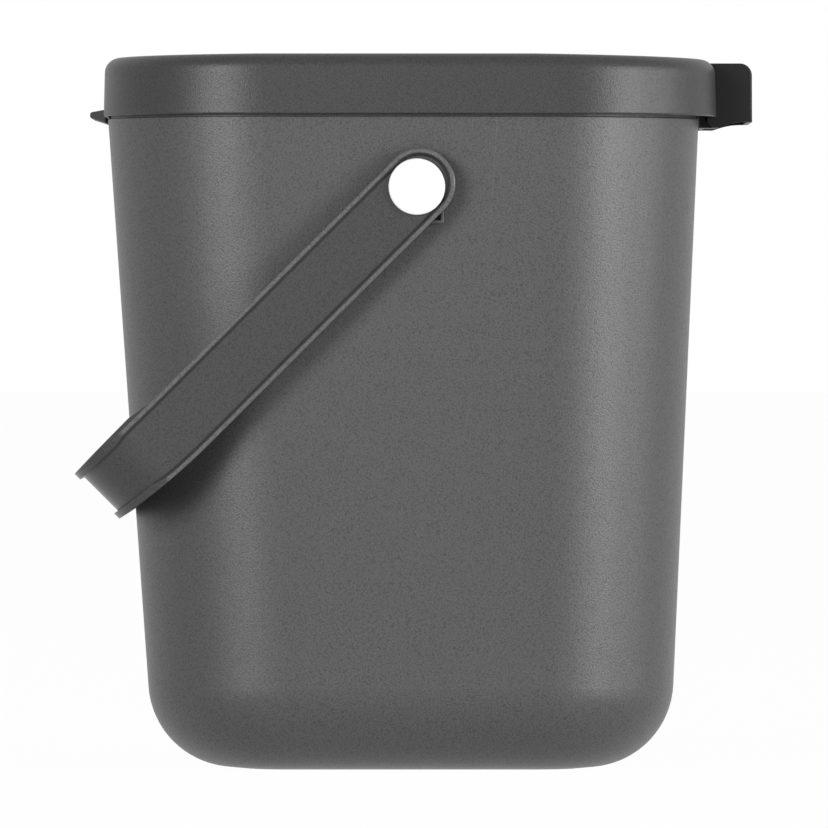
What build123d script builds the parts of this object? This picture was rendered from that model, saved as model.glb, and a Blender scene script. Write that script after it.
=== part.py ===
"""Kitchen recycling bin: a tapered bucket with a hinged lid and a swinging bail handle.

Millimetres. The origin is the centre of the base, on the floor, and +Z is up.
The front, with the finger tab, is -X, and the hinge is at the rear, +X.
"""

from build123d import *
from math import acos, atan2, copysign, cos, hypot, radians, sin, tan
import os

# Bucket walls. Reaches are measured from the centre of the base to the outside, at the shoulder.
shoulder_z = 256.5
front_reach = 119.5
rear_reach = 113.7
side_reach = 97.0
front_draft = 4.03
rear_draft = 2.52
side_draft = 3.0
corner_top = 62.0
corner_knee = 54.0
wall = 2.6

# Bottom of the bucket: a shallow cone runs in from the rounded knee to the foot.
knee_z = 3.5
knee_round = 34.0
foot_inset = 36.6
floor_thick = 2.4
foot_ring_width = 5.0
foot_recess = 1.2
gate_pad_r = 14.0

# Neck that the lid's skirt drops over.
neck_step = 1.2
neck_height = 20.0
neck_edge_round = 0.4
shoulder_round = 0.5

# Lid. It overhangs the bucket's shoulder all round, most at the rear.
lid_gap = 0.8
lid_height = 23.7
lid_thick = 2.2
skirt_thick = 1.5
skirt_draft = 1.4
front_overhang = 1.7
side_overhang = 3.0
rear_overhang = 6.9
lid_edge_round = 6.0
lid_inner_round = 4.2
skirt_edge_round = 0.7
front_fall = 0.6
front_fall_reach = 62.0
rear_fall = 1.3
rear_fall_reach = 72.0
rim_rib_inset = 0.2

# Finger tab on the front of the lid, measured from the skirt's lower edge.
tab_width = 50.0
tab_reach = 5.7
tab_top_rise = 3.1
tab_tip_rise = 0.9
tab_tip_round = 1.1
tab_heel_drop = 2.1
tab_sink = 0.3

# Lid hinge, under the skirt's rear wall.
hinge_inset = 0.3
hinge_drop = 1.1
hinge_pin_r = 1.5
pin_chamfer = 0.3
barrel_r = 3.2
running_gap = 0.05
moving_gap = 0.3
notch_gap = 0.4

# Hood that covers the hinge and is clipped to the lid.
hood_width = 68.0
hood_depth = 14.3
hood_drop = 2.0
hood_height = 23.2
hood_wall = 2.0
cheek_thick = 2.4
cheek_skin = 0.8
hood_draft = 0.3
hood_round = 4.8
hood_edge_round = 0.8
hood_bite = 3.0
hood_overcut = 8.0
lobe_sweep = 11.5
lobe_turn = 22.0
clip_spread = 18.0
clip_width = 8.0
clip_thick = 3.0
clip_rise = 13.7
clip_gap = 0.2
clip_hook = 1.2
clip_head = 1.5

# Hinge bracket, screwed to a land on the rear of the neck.
land_proud = 0.2
land_rise = 13.5
land_drop = 4.5
land_margin = 1.5
plate_thick = 2.5
plate_gap = 0.3
plate_rise = 11.5
plate_round = 3.0
barrel_inner_y = 12.0
arm_thick = 2.65

# Screws that hold the bracket, measured from the shoulder.
screw_spread = 22.0
screw_rise = 6.0
screw_r = 1.5
screw_head_r = 2.9
screw_head_h = 1.8
screw_head_round = 0.8
screw_length = 8.0
screw_boss_r = 4.0
screw_boss_skin = 1.2
driver_r = 1.3
driver_width = 0.7
driver_depth = 1.0

# Handle pivots, below the shoulder and a little behind the middle.
pivot_x = 2.4
pivot_drop = 27.6
stem_r = 5.0
button_r = 11.0
button_thick = 2.0
button_bevel = 0.6
stem_bore_r = 3.0
barb_r = 5.7
barb_length = 2.6
barb_taper = 20.0
barb_gap = 0.7
slot_width = 1.6
slot_length = 9.0

# Boss box on each side wall, behind the handle.
boss_half_width = 10.5
boss_drop = 14.3
boss_wall = 1.3
boss_tube_wall = 2.2
boss_floor = 0.4
boss_edge_round = 0.3

# Handle, an outward channel bent round in a U.
side_gap = 1.5
web_thick = 2.0
flange_height = 1.8
flange_thick = 2.9
handle_length = 170.2
handle_corner = 26.0
arm_half_width = 13.85
end_shift = 1.6
grip_taper = 42.5
grip_narrow = 4.7
grip_flare = 1.4
grip_lip = 1.7
lip_reach = 37.0
lip_ramp = 10.0
flange_edge_bevel = 0.4
flange_flare = 1.4
rest_rib_width = 56.0
rest_rib_thick = 2.0
rest_rib_depth = 3.1
rest_rib_drop = 0.5

# Places that follow from the sizes above.
rim_z = shoulder_z + neck_height
skirt_bottom_z = shoulder_z + lid_gap
lid_top_z = skirt_bottom_z + lid_height
lid_rear_reach = rear_reach + rear_overhang
hinge_x = lid_rear_reach - hinge_inset
hinge_z = skirt_bottom_z - hinge_drop
hood_bottom_z = skirt_bottom_z - hood_drop
hood_top_z = hood_bottom_z + hood_height
hood_rear_x = lid_rear_reach + hood_depth
hood_half_width = hood_width / 2
cheek_inner_y = hood_half_width - cheek_thick
clip_z = skirt_bottom_z + clip_rise
land_x = rear_reach + land_proud
land_bottom_z = shoulder_z - land_drop
land_top_z = shoulder_z + land_rise
plate_half_width = cheek_inner_y - plate_gap
land_half_width = plate_half_width + land_margin
plate_bottom_z = hinge_z - barrel_r
plate_top_z = shoulder_z + plate_rise
arm_top_z = plate_bottom_z + arm_thick
screw_z = shoulder_z + screw_rise
pivot_z = shoulder_z - pivot_drop
handle_inner_y = side_reach + side_overhang + side_gap


def wall_reach(z):
    """Front, rear and side reach of the outside wall at a height."""
    drop = shoulder_z - z
    front = front_reach - drop * tan(radians(front_draft))
    rear = rear_reach - drop * tan(radians(rear_draft))
    side = side_reach - drop * tan(radians(side_draft))
    return front, rear, side


def rounded_face(z, front, rear, side, radius):
    """Rounded rectangle on a level plane, from -front to +rear and over both sides."""
    with BuildSketch(Plane.XY.offset(z)) as section:
        with Locations(((rear - front) / 2, 0)):
            RectangleRounded(front + rear, 2 * side, radius)
    return section.sketch.face()


def bucket_face(z, inset, radius, at_z=None):
    """Section of the bucket, drawn in from the wall by an inset."""
    front, rear, side = wall_reach(z if at_z is None else at_z)
    return rounded_face(z, front - inset, rear - inset, side - inset, radius - inset)


def bucket_form(inset, lift):
    """The bucket as a solid: shallow bottom cone, rounded knee and drafted walls."""
    foot = bucket_face(lift, foot_inset, corner_knee, knee_z)
    knee = bucket_face(knee_z + lift, inset, corner_knee, knee_z)
    top = bucket_face(shoulder_z, inset, corner_top)
    with BuildPart() as form:
        loft(sections=[foot, knee], ruled=True)
        loft(sections=[knee, top], ruled=True)
        knee_edges = form.edges().filter_by_position(Axis.Z, knee_z + lift - 0.01, knee_z + lift + 0.01)
        fillet(knee_edges, knee_round - inset)
    return form.part


bucket_outside = bucket_form(0, 0)
bucket_inside = bucket_form(wall, foot_recess + floor_thick)
pivot_wall_y = wall_reach(pivot_z)[2]
boss_face_y = handle_inner_y - moving_gap
tube_r = stem_r + running_gap
screw_tip_x = land_x + plate_thick - screw_length
land_root_x = rear_reach - neck_step - wall / 2

# Bucket: walls, neck, foot, pivot bosses and the land that the hinge bracket sits on.
with BuildPart() as bin_body:
    add(bucket_outside)
    fillet(bin_body.edges().group_by(Axis.Z)[-1], shoulder_round)
    neck_outside = bucket_face(shoulder_z, neck_step, corner_top)
    extrude(neck_outside, amount=neck_height)
    neck_edges = bin_body.edges().group_by(Axis.Z)[-1]
    fillet(neck_edges, neck_edge_round)
    for side in (-1, 1):
        with BuildSketch(Plane.XZ.offset(-side * pivot_wall_y + side * wall / 2)) as boss:
            with Locations((pivot_x, pivot_z)):
                Circle(boss_half_width)
            with Locations((pivot_x, pivot_z - boss_drop / 2)):
                Rectangle(2 * boss_half_width, boss_drop)
        extrude(amount=-side * (boss_face_y - pivot_wall_y + wall / 2))
        with BuildSketch(Plane.XZ.offset(-side * boss_face_y)) as boss_hollow:
            with Locations((pivot_x, pivot_z)):
                Circle(boss_half_width - boss_wall)
            with Locations((pivot_x, pivot_z - boss_drop / 2)):
                Rectangle(2 * (boss_half_width - boss_wall), boss_drop - 2 * boss_wall)
            with Locations((pivot_x, pivot_z)):
                Circle(tube_r + boss_tube_wall, mode=Mode.SUBTRACT)
        extrude(amount=side * (boss_face_y - pivot_wall_y - boss_floor), mode=Mode.SUBTRACT)
    with Locations(((land_x + land_root_x) / 2, 0, (land_bottom_z + land_top_z) / 2)):
        Box(land_x - land_root_x, 2 * land_half_width, land_top_z - land_bottom_z)
    add(bucket_inside, mode=Mode.SUBTRACT)
    neck_inside = bucket_face(shoulder_z, wall, corner_top)
    extrude(neck_inside, amount=neck_height, mode=Mode.SUBTRACT)
    for side in (-1, 1):
        with BuildSketch(Plane.YZ.offset(screw_tip_x - screw_boss_skin)) as screw_boss:
            with Locations((side * screw_spread, screw_z)):
                Circle(screw_boss_r)
        extrude(amount=land_x - wall - screw_tip_x + screw_boss_skin)
        with BuildSketch(Plane.YZ.offset(land_x)) as screw_hole:
            with Locations((side * screw_spread, screw_z)):
                Circle(screw_r + running_gap)
        extrude(amount=-(land_x - screw_tip_x + moving_gap), mode=Mode.SUBTRACT)
    with Locations((pivot_x, 0, pivot_z)):
        Cylinder(tube_r, 4 * boss_face_y, rotation=(90, 0, 0), mode=Mode.SUBTRACT)
    for side in (-1, 1):
        face_y = side * boss_face_y
        boss_rims = bin_body.edges().filter_by_position(Axis.Y, face_y - 0.01, face_y + 0.01)
        fillet(boss_rims, boss_edge_round)
    with BuildSketch() as recess:
        add(bucket_face(0, foot_inset + foot_ring_width, corner_knee, knee_z))
        with Locations(((wall_reach(knee_z)[1] - wall_reach(knee_z)[0]) / 2, 0)):
            Circle(gate_pad_r, mode=Mode.SUBTRACT)
    extrude(amount=foot_recess, mode=Mode.SUBTRACT)
bin_body.part.label = "bin_body"

pin_reach = hood_half_width - cheek_skin - 2 * running_gap

# Lid: a shallow cap with a finger tab, notched for the barrels and the hood's clips.
lid_front = front_reach + front_overhang
lid_side = side_reach + side_overhang
lid_corner = corner_top + front_overhang
lid_lean = lid_height * tan(radians(skirt_draft))


def lid_form(inset, top_z, edge_round):
    """The lid's outline as a solid, drawn in by an inset."""
    low = rounded_face(
        skirt_bottom_z, lid_front - inset, lid_rear_reach - inset, lid_side - inset, lid_corner - inset
    )
    lean = inset + lid_lean * (top_z - skirt_bottom_z) / lid_height
    high = rounded_face(
        top_z, lid_front - lean, lid_rear_reach - lean, lid_side - lean, lid_corner - lean
    )
    with BuildPart() as form:
        loft(sections=[low, high], ruled=True)
        front_end = (-lid_front, front_fall, front_fall_reach)
        rear_end = (lid_rear_reach, rear_fall, rear_fall_reach)
        for end, fall, reach in (front_end, rear_end):
            with BuildSketch(Plane.XZ) as slope:
                with BuildLine():
                    Polyline(
                        (end - copysign(reach, end), top_z),
                        (end, top_z - fall),
                        (2 * end, top_z - fall),
                        (2 * end, top_z + lid_thick),
                        (end - copysign(reach, end), top_z + lid_thick),
                        close=True,
                    )
                make_face()
            extrude(amount=2 * lid_side, both=True, mode=Mode.SUBTRACT)
        top_faces = form.faces().filter_by(lambda face: face.normal_at().Z > 0.9)
        rims = top_faces.edges()
        rims = rims.filter_by(lambda edge: edge.length < 1.9 * lid_side or edge.center().Y != 0)
        fillet(rims, edge_round)
    return form.part


lid_outside = lid_form(0, lid_top_z, lid_edge_round)
lid_inside = lid_form(skirt_thick, lid_top_z - lid_thick, lid_inner_round)
rib_base_z = rim_z + moving_gap
tab_root_x = -(lid_front - tab_sink)
tab_tip_x = -(lid_front + tab_reach)
tab_tip_z = skirt_bottom_z + tab_tip_rise

# Hollow of the lid. The rib left standing in it lies on the bucket's rim.
with BuildPart() as lid_hollow:
    add(lid_inside)
    rib_outside = bucket_face(rib_base_z, neck_step + rim_rib_inset, corner_top, shoulder_z)
    extrude(rib_outside, amount=lid_height, mode=Mode.SUBTRACT)
    rib_inside = bucket_face(rib_base_z, wall - rim_rib_inset, corner_top, shoulder_z)
    extrude(rib_inside, amount=lid_height)
    add(lid_inside, mode=Mode.INTERSECT)

with BuildPart() as lid:
    add(lid_outside)
    fillet(lid.edges().group_by(Axis.Z)[0], skirt_edge_round)
    add(lid_hollow.part, mode=Mode.SUBTRACT)
    with BuildSketch(Plane.XZ) as tab:
        with BuildLine() as tab_line:
            Polyline(
                (tab_root_x, skirt_bottom_z + tab_top_rise),
                (tab_tip_x, tab_tip_z + tab_tip_round),
                (tab_tip_x, tab_tip_z - tab_tip_round),
                (tab_root_x, skirt_bottom_z - tab_heel_drop),
                close=True,
            )
        make_face()
        fillet(tab.vertices().group_by(Axis.X)[0], tab_tip_round * 0.9)
    extrude(amount=tab_width / 2, both=True)
    with Locations((hinge_x, 0, hinge_z)):
        Cylinder(
            barrel_r + notch_gap,
            2 * (hood_half_width - cheek_thick),
            rotation=(90, 0, 0),
            mode=Mode.SUBTRACT,
        )
    with Locations((hinge_x, 0, hinge_z)):
        Cylinder(
            hinge_pin_r + moving_gap,
            2 * (pin_reach + moving_gap),
            rotation=(90, 0, 0),
            mode=Mode.SUBTRACT,
        )
    with Locations((lid_rear_reach, clip_spread, clip_z), (lid_rear_reach, -clip_spread, clip_z)):
        Box(
            4 * skirt_thick,
            clip_width + 2 * clip_gap,
            clip_thick + 2 * clip_gap,
            mode=Mode.SUBTRACT,
        )
lid.part.label = "lid"

# Hood: a box open below and towards the lid, with a lobe round the pin on each cheek.
hood_lean = (hood_top_z - hood_bottom_z) * tan(radians(hood_draft))
hood_front_x = lid_rear_reach - hood_bite
clip_root_x = hood_rear_x - hood_wall / 2
clip_face_x = lid_rear_reach - lid_lean * (clip_z - skirt_bottom_z) / lid_height
clip_face_x -= skirt_thick + 2 * running_gap

with BuildPart() as hinge_hood:
    with BuildSketch(Plane.XZ) as hood_side:
        with BuildLine() as hood_line:
            Polyline(
                (hood_front_x, hood_bottom_z),
                (hood_front_x, hood_top_z),
                (hood_rear_x - hood_lean, hood_top_z),
                (hood_rear_x, hood_bottom_z),
                close=True,
            )
        make_face()
        top_rear = hood_side.vertices().group_by(Axis.Y)[-1].sort_by(Axis.X)[-1]
        fillet(top_rear, hood_round)
    extrude(amount=hood_half_width, both=True)
    hood_rims = hinge_hood.faces().filter_by(Axis.Y).edges().filter_by_position(
        Axis.X, hood_front_x + hood_round, hood_rear_x + hood_round
    )
    fillet(hood_rims.filter_by_position(Axis.Z, hood_bottom_z + hood_round, hood_top_z), hood_edge_round)
    with BuildSketch(Plane.XZ) as lobe:
        with Locations((hinge_x, hinge_z)):
            Circle(barrel_r)
        with BuildLine() as lobe_line:
            lobe_low = (
                hinge_x + barrel_r * sin(radians(lobe_turn)),
                hinge_z - barrel_r * cos(radians(lobe_turn)),
            )
            lobe_end = (hinge_x + lobe_sweep, hood_bottom_z)
            sweep_way = (cos(radians(lobe_turn)), sin(radians(lobe_turn)))
            TangentArc(lobe_low, lobe_end, tangent=sweep_way)
            Polyline(lobe_end, (hinge_x, hood_bottom_z), lobe_low)
        make_face()
    extrude(amount=hood_half_width, both=True)
    with BuildSketch(Plane.XZ) as hood_hollow:
        with BuildLine() as hollow_line:
            Polyline(
                (hood_front_x - hood_overcut, hood_bottom_z - hood_overcut),
                (hood_front_x - hood_overcut, hood_top_z - hood_wall),
                (hood_rear_x - hood_lean - hood_wall, hood_top_z - hood_wall),
                (hood_rear_x - hood_wall, hood_bottom_z),
                (hood_rear_x - hood_wall, hood_bottom_z - hood_overcut),
                close=True,
            )
        make_face()
        hollow_corner = hood_hollow.vertices().group_by(Axis.Y)[-1].sort_by(Axis.X)[-1]
        fillet(hollow_corner, hood_round - hood_wall)
    extrude(amount=cheek_inner_y, both=True, mode=Mode.SUBTRACT)
    add(lid_outside, mode=Mode.SUBTRACT)
    with Locations((hinge_x, 0, hinge_z)):
        Cylinder(
            hinge_pin_r + running_gap,
            2 * (hood_half_width - cheek_skin),
            rotation=(90, 0, 0),
            mode=Mode.SUBTRACT,
        )
    for side in (-1, 1):
        with BuildSketch(Plane.XZ.offset(-side * clip_spread)) as clip:
            with BuildLine() as clip_line:
                Polyline(
                    (clip_root_x, clip_z - clip_thick / 2),
                    (clip_face_x - clip_head, clip_z - clip_thick / 2),
                    (clip_face_x - clip_head, clip_z + clip_thick / 2),
                    (clip_face_x, clip_z + clip_thick / 2 + clip_hook),
                    (clip_face_x, clip_z + clip_thick / 2),
                    (clip_root_x, clip_z + clip_thick / 2),
                    close=True,
                )
            make_face()
        extrude(amount=clip_width / 2, both=True)
hinge_hood.part.label = "hinge_hood"

# Pin through both cheeks and the bracket's barrels.
with BuildPart() as hinge_pin:
    with Locations((hinge_x, 0, hinge_z)):
        Cylinder(hinge_pin_r, 2 * pin_reach, rotation=(90, 0, 0))
    chamfer(hinge_pin.edges().filter_by(GeomType.CIRCLE), pin_chamfer)
hinge_pin.part.label = "hinge_pin"

# Bracket: a plate on the land, with an arm and a barrel on each side.
with BuildPart() as hinge_bracket:
    with Locations((land_x + plate_thick / 2, 0, (plate_bottom_z + plate_top_z) / 2)):
        Box(plate_thick, 2 * plate_half_width, plate_top_z - plate_bottom_z)
    plate_corners = hinge_bracket.edges().filter_by(Axis.X).group_by(Axis.Z)[-1]
    fillet(plate_corners, plate_round)
    for side in (-1, 1):
        with BuildSketch(Plane.XZ.offset(-side * (barrel_inner_y + plate_half_width) / 2)) as arm:
            with Locations((hinge_x, hinge_z)):
                Circle(barrel_r)
            with BuildLine() as arm_line:
                Polyline(
                    (land_x + plate_thick / 2, plate_bottom_z),
                    (hinge_x, hinge_z - barrel_r),
                    (hinge_x, arm_top_z),
                    (land_x + plate_thick / 2, arm_top_z),
                    close=True,
                )
            make_face()
        extrude(amount=(plate_half_width - barrel_inner_y) / 2, both=True)
    with Locations((hinge_x, 0, hinge_z)):
        Cylinder(
            hinge_pin_r + running_gap, 4 * plate_half_width, rotation=(90, 0, 0), mode=Mode.SUBTRACT
        )
    for side in (-1, 1):
        with BuildSketch(Plane.YZ.offset(land_x + plate_thick)) as screw_way:
            with Locations((side * screw_spread, screw_z)):
                Circle(screw_r + 2 * running_gap)
        extrude(amount=-2 * plate_thick, mode=Mode.SUBTRACT)
hinge_bracket.part.label = "hinge_bracket"

# Two self-tapping screws hold the bracket.
with BuildPart() as bracket_screws:
    for side in (-1, 1):
        with BuildSketch(Plane.YZ.offset(land_x + plate_thick)) as head:
            with Locations((side * screw_spread, screw_z)):
                Circle(screw_head_r)
        extrude(amount=screw_head_h)
        head_rims = bracket_screws.edges().group_by(Axis.X)[-1]
        fillet(head_rims.sort_by(Axis.Y)[-1 if side > 0 else 0], screw_head_round)
        with BuildSketch(Plane.YZ.offset(land_x + plate_thick)) as shank:
            with Locations((side * screw_spread, screw_z)):
                Circle(screw_r)
        extrude(amount=-screw_length)
        with BuildSketch(Plane.YZ.offset(land_x + plate_thick + screw_head_h)) as drive:
            with Locations((side * screw_spread, screw_z)):
                Rectangle(2 * driver_r, driver_width)
                Rectangle(driver_width, 2 * driver_r)
        extrude(amount=-driver_depth, mode=Mode.SUBTRACT)
bracket_screws.part.label = "bracket_screws"

# Handle. It swings down until the rib behind its grip stands just off the front wall.
grip_narrow_t = grip_narrow - arm_half_width
grip_wide_t = arm_half_width + grip_flare
rib_s = handle_length - rest_rib_depth
rib_t = grip_narrow_t - rest_rib_drop
wall_slope = tan(radians(front_draft))
reach_level = rib_s - rib_t * wall_slope
reach_drop = rib_t + rib_s * wall_slope
reach_wall = wall_reach(pivot_z)[0] + pivot_x + moving_gap
rest = atan2(reach_drop, reach_level) + acos(reach_wall / hypot(reach_level, reach_drop))

# s runs from the pivot to the grip, t across the arm, in the rest position.
along = Vector(-cos(rest), 0, -sin(rest))
across = Vector(-sin(rest), 0, cos(rest))
pivot = Vector(pivot_x, 0, pivot_z)
side_plane = Plane(origin=pivot, x_dir=along, z_dir=(0, 1, 0))
band_plane = Plane(origin=pivot, x_dir=along, z_dir=across * -1)
arm_back = 2 * arm_half_width
far = handle_length + web_thick + 2 * flange_height
past_far = far + 2 * flange_thick
grip_start = handle_length - grip_taper
lip_start = handle_length - lip_reach
web_y = handle_inner_y + web_thick
flange_y = web_y + flange_height


def side_outline(inset, at_y=0):
    """Side view of the handle, from the round end to past the grip."""
    with BuildSketch(side_plane.offset(at_y)) as outline:
        with BuildLine():
            Line((-end_shift, -arm_half_width), (grip_start, -arm_half_width))
            TangentArc((grip_start, -arm_half_width), (far, grip_narrow_t), tangent=(1, 0))
            Polyline((far, grip_narrow_t), (past_far, grip_narrow_t), (past_far, grip_wide_t), (far, grip_wide_t))
            TangentArc((grip_start, arm_half_width), (far, grip_wide_t), tangent=(1, 0))
            Line((grip_start, arm_half_width), (-end_shift, arm_half_width))
            round_end = ((-end_shift, arm_half_width), (-end_shift - arm_half_width, 0))
            ThreePointArc(*round_end, (-end_shift, -arm_half_width))
        make_face()
        if inset:
            offset(amount=-inset)
    return outline.sketch


def band_outline(reach):
    """Plan view of the handle's U, out to a given reach from its inner face."""
    with BuildSketch(band_plane) as outline:
        with Locations(((handle_length + reach - arm_back) / 2, 0)):
            Rectangle(handle_length + reach + arm_back, 2 * (handle_inner_y + reach))
        fillet(outline.vertices().group_by(Axis.X)[-1], handle_corner + reach)
    return outline.sketch


# Lip that widens the grip's upper edge, outside the flange.
with BuildPart() as grip_edge:
    with BuildSketch(side_plane) as lip:
        with BuildLine():
            Polyline(
                (lip_start, arm_half_width),
                (lip_start + lip_ramp, arm_half_width + grip_lip),
                (far, grip_wide_t),
                (far, 0),
                (lip_start, 0),
                close=True,
            )
        make_face()
    extrude(amount=web_y, both=True)
    extrude(side_outline(0), amount=2 * handle_inner_y, both=True, mode=Mode.SUBTRACT)
    u_shape = band_outline(web_thick + flange_height)
    extrude(u_shape, amount=2 * arm_half_width, both=True, mode=Mode.INTERSECT)
    extrude(band_outline(0), amount=3 * arm_half_width, both=True, mode=Mode.SUBTRACT)

with BuildPart() as channel:
    extrude(side_outline(flange_thick), amount=2 * handle_inner_y, both=True)
    extrude(band_outline(web_thick), amount=4 * arm_half_width, both=True, mode=Mode.SUBTRACT)
    for side in (-1, 1):
        root = side_outline(flange_thick, side * web_y)
        mouth = side_outline(flange_thick - flange_flare, side * flange_y)
        loft(sections=[root.face(), mouth.face()], ruled=True)

# Outside of the handle, bevelled along the flanges' edges.
with BuildPart() as handle_form:
    extrude(side_outline(0), amount=flange_y - flange_edge_bevel, both=True)
    for side in (-1, 1):
        edge = side_outline(0, side * (flange_y - flange_edge_bevel))
        crest = side_outline(flange_edge_bevel, side * flange_y)
        loft(sections=[edge.face(), crest.face()], ruled=True)

with BuildPart() as handle:
    extrude(band_outline(web_thick + flange_height), amount=2 * arm_half_width, both=True)
    extrude(band_outline(0), amount=3 * arm_half_width, both=True, mode=Mode.SUBTRACT)
    add(handle_form.part, mode=Mode.INTERSECT)
    add(channel.part, mode=Mode.SUBTRACT)
    add(grip_edge.part)
    with BuildSketch(side_plane) as rest_rib:
        with Locations((rib_s + rest_rib_depth / 2 + web_thick / 4, rib_t + rest_rib_thick / 2)):
            Rectangle(rest_rib_depth + web_thick / 2, rest_rib_thick)
    extrude(amount=rest_rib_width / 2, both=True)
    with Locations(pivot):
        Cylinder(tube_r, 4 * handle_inner_y, rotation=(90, 0, 0), mode=Mode.SUBTRACT)
handle.part.label = "handle"


def pivot_button(side):
    """White snap-in button: a round head, a hollow stem and two barbs behind the wall."""
    head_y = handle_inner_y + web_thick + moving_gap
    inner_face_y = pivot_wall_y - wall
    barb_y = inner_face_y - barb_gap
    with BuildPart() as button:
        with BuildSketch(Plane.XZ.offset(-side * head_y)) as disc:
            with Locations((pivot_x, pivot_z)):
                Circle(button_r)
        extrude(amount=-side * button_thick)
        rim = button.edges().sort_by(Axis.Y)[-1 if side > 0 else 0]
        fillet(rim, button_bevel)
        with BuildSketch(Plane.XZ.offset(-side * head_y)) as stem:
            with Locations((pivot_x, pivot_z)):
                Circle(stem_r)
        extrude(amount=side * (head_y - barb_y))
        with BuildSketch(Plane.XZ.offset(-side * barb_y)) as barb:
            with Locations((pivot_x, pivot_z)):
                Circle(barb_r)
        extrude(amount=side * barb_length, taper=barb_taper)
        with BuildSketch(Plane.XZ.offset(-side * (barb_y - barb_length))) as bore:
            with Locations((pivot_x, pivot_z)):
                Circle(stem_bore_r)
                Rectangle(3 * barb_r, slot_width)
        extrude(amount=-side * (slot_length + barb_length), mode=Mode.SUBTRACT)
    return button.part


os.makedirs("parts", exist_ok=True)
for side, name in ((-1, "pivot_button_left"), (1, "pivot_button_right")):
    button = pivot_button(side)
    button.label = name
    export_step(button, f"parts/{name}.step")

for piece in (bin_body, lid, hinge_hood, hinge_pin, hinge_bracket, bracket_screws, handle):
    export_step(piece.part, f"parts/{piece.part.label}.step")
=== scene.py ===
"""Studio scene of a kitchen recycling bin with a hinged lid and a bail handle.

Metres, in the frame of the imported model: the front is -X, the rear +X, and +Z is up.
"""

from math import atan2, cos, radians, sin
import bpy
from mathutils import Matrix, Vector

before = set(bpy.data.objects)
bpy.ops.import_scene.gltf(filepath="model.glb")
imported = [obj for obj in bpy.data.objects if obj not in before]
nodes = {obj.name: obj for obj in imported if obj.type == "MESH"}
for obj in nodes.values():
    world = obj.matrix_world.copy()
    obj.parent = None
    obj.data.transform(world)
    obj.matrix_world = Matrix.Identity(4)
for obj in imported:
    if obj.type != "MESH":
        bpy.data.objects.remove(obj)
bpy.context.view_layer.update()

WHITE = (1, 1, 1, 1)

# Photograph: the camera stands far off, level with the upper part of the bucket.
CAMERA_PLACE = (0.0013, -4.597, 0.1712)
NEAR_FACE_Y = -0.097
PHOTO_SIZE = 828
HORIZON_ROW = 335
METRES_PER_PIXEL = 0.0003896
SENSOR_MM = 36.0
CAMERA_REACH = 100

# Floor and surroundings: how white the floor looks, and how brightly the world lights.
FLOOR_SPAN = 60
FLOOR_COLOUR = (0.85, 0.85, 0.85, 1)
FLOOR_WHITE = 0.98
WORLD_LIGHT = 0.2

# Soft boxes: name, angle from the camera's direction, height, width and height, and watts.
LIGHT_REACH = 3.3
LIGHT_TARGET = (0, 0, 0.14)
SOFT_BOXES = (
    ("box_left", radians(-32), 0.8, (1.3, 1.0), 86),
    ("box_right", radians(52), 0.6, (1.3, 1.2), 90),
    ("box_side", radians(82), 0.5, (0.5, 1.4), 33),
)

# Leather grain: cell size, how the cells bend and blend, and their tone from crown to valley, which
# is painted shade: crowns painted lighter, valleys painted darker.
GRAIN_SIZE = 0.0006
WARP_CYCLES = 0.6
WARP_DETAIL = 2.0
CELL_SMOOTHNESS = 0.5
VALLEY_DISTANCE = 0.8
CROWN_PAINTED_LIGHT = 1.4
VALLEY_PAINTED_SHADE = 0.5
GRAIN_GLOSS = (-0.04, 0.06)

# Clouding: slow changes of tone over the whole moulding.
CLOUD_SCALE = 9.0
CLOUD_DETAIL = 3.0
CLOUD_TONE = (0.94, 1.06)

# Faint upright lines that the mould's side core leaves beside each pivot.
CORE_X = 0.0024
CORE_HALF_WIDTH = 0.0294
CORE_LEVEL = 0.2238
CORE_SLOPE = 0.064
CORE_END_Z = 0.216
CORE_LINE = 0.0003
CORE_PROUD = 0.8

# The handle's outermost edges are painted lighter, a painted highlight for the light their rounded
# edges catch: where that starts, sideways, and fades in.
EDGE_HIGHLIGHT_FROM = 0.1047
EDGE_HIGHLIGHT_FADE = 0.0004
EDGE_HIGHLIGHT_TONE = 2.6

# Smooth plastic: flow ripple in the skin.
RIPPLE_DETAIL = 3.0
RIPPLE_DEPTH = 0.00001
RIPPLE_GLOSS = (-0.05, 0.05)

# Zinc-plated steel.
ZINC = (0.55, 0.55, 0.56)
MARKS_SCALE = 2500.0
MARKS_ROUGHNESS = (0.25, 0.45)


def add_camera():
    """Camera at the photograph's place, tilted down a little to centre the bin."""
    distance = NEAR_FACE_Y - CAMERA_PLACE[1]
    data = bpy.data.cameras.new("camera")
    data.sensor_width = SENSOR_MM
    data.lens = SENSOR_MM * distance / (PHOTO_SIZE * METRES_PER_PIXEL)
    data.clip_end = CAMERA_REACH
    camera = bpy.data.objects.new("camera", data)
    camera.location = CAMERA_PLACE
    tilt = atan2((PHOTO_SIZE / 2 - HORIZON_ROW) * METRES_PER_PIXEL, distance)
    camera.rotation_euler = (radians(90) - tilt, 0, 0)
    bpy.context.collection.objects.link(camera)
    bpy.context.scene.camera = camera


def soft_box(name, place, size, power):
    """Area light at a place, aimed at the bin. size is its width and height."""
    data = bpy.data.lights.new(name, "AREA")
    data.shape = "RECTANGLE"
    data.size, data.size_y = size
    data.energy = power
    lamp = bpy.data.objects.new(name, data)
    lamp.location = place
    aim = Vector(LIGHT_TARGET) - Vector(place)
    lamp.rotation_euler = aim.to_track_quat("-Z", "Y").to_euler()
    lamp.visible_camera = False
    bpy.context.collection.objects.link(lamp)


def add_lights():
    """Soft boxes round the camera's side of the bin."""
    for name, azimuth, height, size, power in SOFT_BOXES:
        place = (LIGHT_REACH * sin(azimuth), -LIGHT_REACH * cos(azimuth), height)
        soft_box(name, place, size, power)


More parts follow.
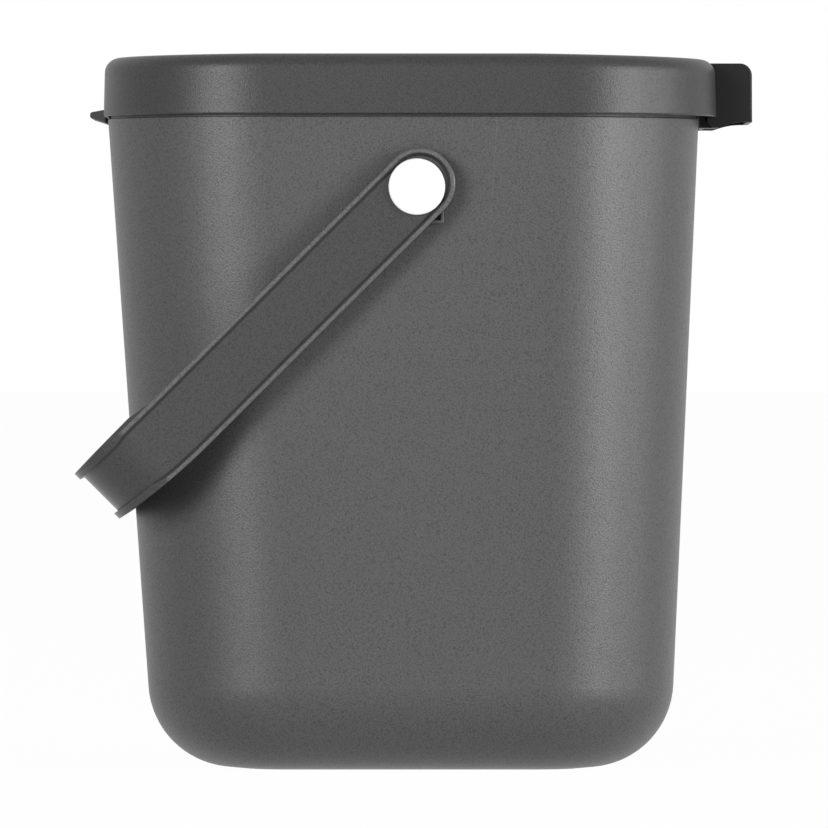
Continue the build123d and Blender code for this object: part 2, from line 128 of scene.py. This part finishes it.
def node_material(name):
    """Empty node material, its tree and its output."""
    material = bpy.data.materials.new(name)
    material.use_nodes = True
    tree = material.node_tree
    tree.nodes.clear()
    output = tree.nodes.new("ShaderNodeOutputMaterial")
    return material, tree, output


def math_node(tree, operation, first, second=0.0):
    """Result of a maths node on two values, each a float or a socket."""
    node = tree.nodes.new("ShaderNodeMath")
    node.operation = operation
    for socket, value in zip(node.inputs, (first, second)):
        if isinstance(value, float):
            socket.default_value = value
        else:
            tree.links.new(value, socket)
    return node.outputs[0]


def stretch(tree, value, ends, start=0.0, end=1.0):
    """A value that runs from start to end, stretched to run between two ends and held there."""
    node = tree.nodes.new("ShaderNodeMapRange")
    node.inputs["From Min"].default_value = start
    node.inputs["From Max"].default_value = end
    node.inputs["To Min"].default_value = ends[0]
    node.inputs["To Max"].default_value = ends[1]
    tree.links.new(value, node.inputs["Value"])
    return node.outputs["Result"]


def noise(tree, place, scale, detail=2.0):
    """Noise texture over a place socket."""
    node = tree.nodes.new("ShaderNodeTexNoise")
    node.inputs["Scale"].default_value = scale
    node.inputs["Detail"].default_value = detail
    tree.links.new(place, node.inputs["Vector"])
    return node


def add_bump(tree, shader, height, depth, invert=False):
    """Relief of a height socket in the shader's normal."""
    bump = tree.nodes.new("ShaderNodeBump")
    bump.invert = invert
    bump.inputs["Distance"].default_value = depth
    tree.links.new(height, bump.inputs["Height"])
    tree.links.new(bump.outputs["Normal"], shader.inputs["Normal"])


def add_gloss(tree, shader, value, ends):
    """Roughness between two ends, after a socket from 0 to 1."""
    tree.links.new(stretch(tree, value, ends), shader.inputs["Roughness"])


def around(middle, spread):
    """Two ends, each a step from the middle."""
    return tuple(middle + step for step in spread)


def white_to_camera(tree, lit_shader, white_shader, share):
    """Blend of a lit shader and plain white, which only camera, mirror and glass rays see."""
    path = tree.nodes.new("ShaderNodeLightPath")
    seen = path.outputs["Is Camera Ray"]
    for ray in ("Is Glossy Ray", "Is Transmission Ray"):
        seen = math_node(tree, "MAXIMUM", seen, path.outputs[ray])
    mix = tree.nodes.new("ShaderNodeMixShader")
    tree.links.new(math_node(tree, "MULTIPLY", seen, share), mix.inputs["Fac"])
    tree.links.new(lit_shader, mix.inputs[1])
    tree.links.new(white_shader, mix.inputs[2])
    return mix.outputs[0]


def add_floor():
    """Wide pale floor that keeps the object's soft shadow."""
    bpy.ops.mesh.primitive_plane_add(size=FLOOR_SPAN, location=(0, 0, 0))
    floor = bpy.context.object
    floor.name = "floor"
    material, tree, output = node_material("floor_paper")
    paper = tree.nodes.new("ShaderNodeBsdfDiffuse")
    paper.inputs["Color"].default_value = FLOOR_COLOUR
    white = tree.nodes.new("ShaderNodeEmission")
    white.inputs["Color"].default_value = WHITE
    shader = white_to_camera(tree, paper.outputs[0], white.outputs[0], FLOOR_WHITE)
    tree.links.new(shader, output.inputs["Surface"])
    floor.data.materials.append(material)


def add_world():
    """Even surroundings: white where they are seen or mirrored, dimmer where they light."""
    world = bpy.data.worlds.new("studio")
    world.use_nodes = True
    tree = world.node_tree
    tree.nodes.clear()
    output = tree.nodes.new("ShaderNodeOutputWorld")
    sky = tree.nodes.new("ShaderNodeBackground")
    sky.inputs["Color"].default_value = WHITE
    sky.inputs["Strength"].default_value = WORLD_LIGHT
    white = tree.nodes.new("ShaderNodeBackground")
    white.inputs["Color"].default_value = WHITE
    shader = white_to_camera(tree, sky.outputs[0], white.outputs[0], 1.0)
    tree.links.new(shader, output.inputs["Surface"])
    bpy.context.scene.world = world


def core_lines(tree, place):
    """Height of the mould's witness lines beside the pivots, 0 off them."""
    axes = tree.nodes.new("ShaderNodeSeparateXYZ")
    tree.links.new(place, axes.inputs[0])
    from_pivot = math_node(tree, "ABSOLUTE", math_node(tree, "SUBTRACT", axes.outputs["X"], CORE_X))
    above_level = math_node(tree, "SUBTRACT", axes.outputs["Z"], CORE_LEVEL)
    lean = math_node(tree, "MULTIPLY", above_level, CORE_SLOPE)
    line = math_node(tree, "ADD", lean, CORE_HALF_WIDTH)
    off_line = math_node(tree, "ABSOLUTE", math_node(tree, "SUBTRACT", from_pivot, line))
    near = math_node(tree, "SUBTRACT", 1.0, math_node(tree, "DIVIDE", off_line, CORE_LINE))
    above_end = math_node(tree, "GREATER_THAN", axes.outputs["Z"], CORE_END_Z)
    height = math_node(tree, "MULTIPLY", math_node(tree, "MAXIMUM", near, 0.0), above_end)
    return math_node(tree, "MULTIPLY", height, CORE_PROUD)


def painted_edge_highlight(tree, place):
    """Tone that is 1 on the handle's strap and lighter on the edges farthest out sideways: a
    painted highlight.
    """
    axes = tree.nodes.new("ShaderNodeSeparateXYZ")
    tree.links.new(place, axes.inputs[0])
    reach = math_node(tree, "ABSOLUTE", axes.outputs["Y"])
    return stretch(tree, reach, (1.0, EDGE_HIGHLIGHT_TONE), EDGE_HIGHLIGHT_FROM, EDGE_HIGHLIGHT_FROM + EDGE_HIGHLIGHT_FADE)


def leather_cells(tree, place):
    """Distance from the middle of a grain cell, in bent cells with soft borders."""
    warp = noise(tree, place, WARP_CYCLES / GRAIN_SIZE, WARP_DETAIL)
    shift = tree.nodes.new("ShaderNodeVectorMath")
    shift.operation = "MULTIPLY_ADD"
    shift.inputs[1].default_value = (GRAIN_SIZE, GRAIN_SIZE, GRAIN_SIZE)
    tree.links.new(warp.outputs["Color"], shift.inputs[0])
    tree.links.new(place, shift.inputs[2])
    cells = tree.nodes.new("ShaderNodeTexVoronoi")
    cells.feature = "SMOOTH_F1"
    cells.inputs["Scale"].default_value = 1 / GRAIN_SIZE
    cells.inputs["Smoothness"].default_value = CELL_SMOOTHNESS
    tree.links.new(shift.outputs[0], cells.inputs["Vector"])
    return cells.outputs["Distance"]


def grained_plastic(name, colour, roughness, shine, grain_depth, cored=False, edge_highlight=False):
    """Moulded plastic with a leather grain: raised cells with soft valleys between them."""
    material, tree, output = node_material(name)
    shader = tree.nodes.new("ShaderNodeBsdfPrincipled")
    shader.inputs["Specular IOR Level"].default_value = shine
    place = tree.nodes.new("ShaderNodeTexCoord").outputs["Object"]
    cells = leather_cells(tree, place)
    sunk = cells
    if cored:
        sunk = math_node(tree, "SUBTRACT", cells, core_lines(tree, place))
    add_bump(tree, shader, sunk, grain_depth, invert=True)
    add_gloss(tree, shader, cells, around(roughness, GRAIN_GLOSS))

    cloud = noise(tree, place, CLOUD_SCALE, CLOUD_DETAIL)
    clouding = stretch(tree, cloud.outputs["Fac"], CLOUD_TONE)
    # Painted shade on the grain: lighter crowns and darker valleys between the cells.
    grain = stretch(tree, cells, (CROWN_PAINTED_LIGHT, VALLEY_PAINTED_SHADE), end=VALLEY_DISTANCE)
    tone = math_node(tree, "MULTIPLY", clouding, grain)
    # Painted highlight: the handle's outermost edges are made lighter.
    if edge_highlight:
        tone = math_node(tree, "MULTIPLY", tone, painted_edge_highlight(tree, place))
    tint = tree.nodes.new("ShaderNodeMix")
    tint.data_type = "RGBA"
    tint.blend_type = "MULTIPLY"
    tint.inputs["Factor"].default_value = 1.0
    tint.inputs["A"].default_value = (*colour, 1)
    tree.links.new(tone, tint.inputs["B"])
    tree.links.new(tint.outputs["Result"], shader.inputs["Base Color"])
    tree.links.new(shader.outputs[0], output.inputs["Surface"])
    return material


def smooth_plastic(name, colour, roughness, shine, ripple):
    """Moulded plastic without grain: a slight flow ripple in its skin and gloss."""
    material, tree, output = node_material(name)
    shader = tree.nodes.new("ShaderNodeBsdfPrincipled")
    shader.inputs["Base Color"].default_value = (*colour, 1)
    shader.inputs["Specular IOR Level"].default_value = shine
    place = tree.nodes.new("ShaderNodeTexCoord").outputs["Object"]
    flow = noise(tree, place, 1 / ripple, RIPPLE_DETAIL).outputs["Fac"]
    add_bump(tree, shader, flow, RIPPLE_DEPTH)
    add_gloss(tree, shader, flow, around(roughness, RIPPLE_GLOSS))
    tree.links.new(shader.outputs[0], output.inputs["Surface"])
    return material


def plated_steel(name):
    """Zinc-plated steel with fine mottling in its gloss."""
    material, tree, output = node_material(name)
    shader = tree.nodes.new("ShaderNodeBsdfPrincipled")
    shader.inputs["Base Color"].default_value = (*ZINC, 1)
    shader.inputs["Metallic"].default_value = 1.0
    place = tree.nodes.new("ShaderNodeTexCoord").outputs["Object"]
    marks = noise(tree, place, MARKS_SCALE)
    add_gloss(tree, shader, marks.outputs["Fac"], MARKS_ROUGHNESS)
    tree.links.new(shader.outputs[0], output.inputs["Surface"])
    return material


def finish_node(node, material):
    """Gives a CAD node its material."""
    for holder in nodes[node].material_slots:
        holder.material = material


add_camera()
add_world()
add_floor()
add_lights()

body_grey = grained_plastic(
    "grey_body_grain", (0.052, 0.052, 0.053),
    roughness=0.42, shine=0.48, grain_depth=0.00005, cored=True)
# The lid's grey is half the body's: painted shade for the lid, whose faces lean up and catch less
# light than the body's.
lid_grey_painted_shade = grained_plastic(
    "grey_lid_grain_painted_shade", (0.026, 0.026, 0.027),
    roughness=0.42, shine=0.38, grain_depth=0.00005)
# The handle gets a painted highlight on its outermost edges.
handle_grey = grained_plastic(
    "grey_handle_grain", (0.034, 0.034, 0.035),
    roughness=0.3, shine=0.45, grain_depth=0.00001, edge_highlight=True)
black = smooth_plastic(
    "black_satin", (0.01, 0.01, 0.01), roughness=0.4, shine=0.15, ripple=0.004)
white = smooth_plastic(
    "white_cap", (0.64, 0.64, 0.635), roughness=0.4, shine=0.5, ripple=0.006)
steel = plated_steel("zinc_steel")

finish_node("bin_body", body_grey)
finish_node("lid", lid_grey_painted_shade)
finish_node("handle", handle_grey)
finish_node("hinge_hood", black)
finish_node("hinge_bracket", black)
finish_node("hinge_pin", steel)
finish_node("bracket_screws", steel)
finish_node("pivot_button_left", white)
finish_node("pivot_button_right", white)

bpy.context.scene.view_settings.view_transform = "Standard"
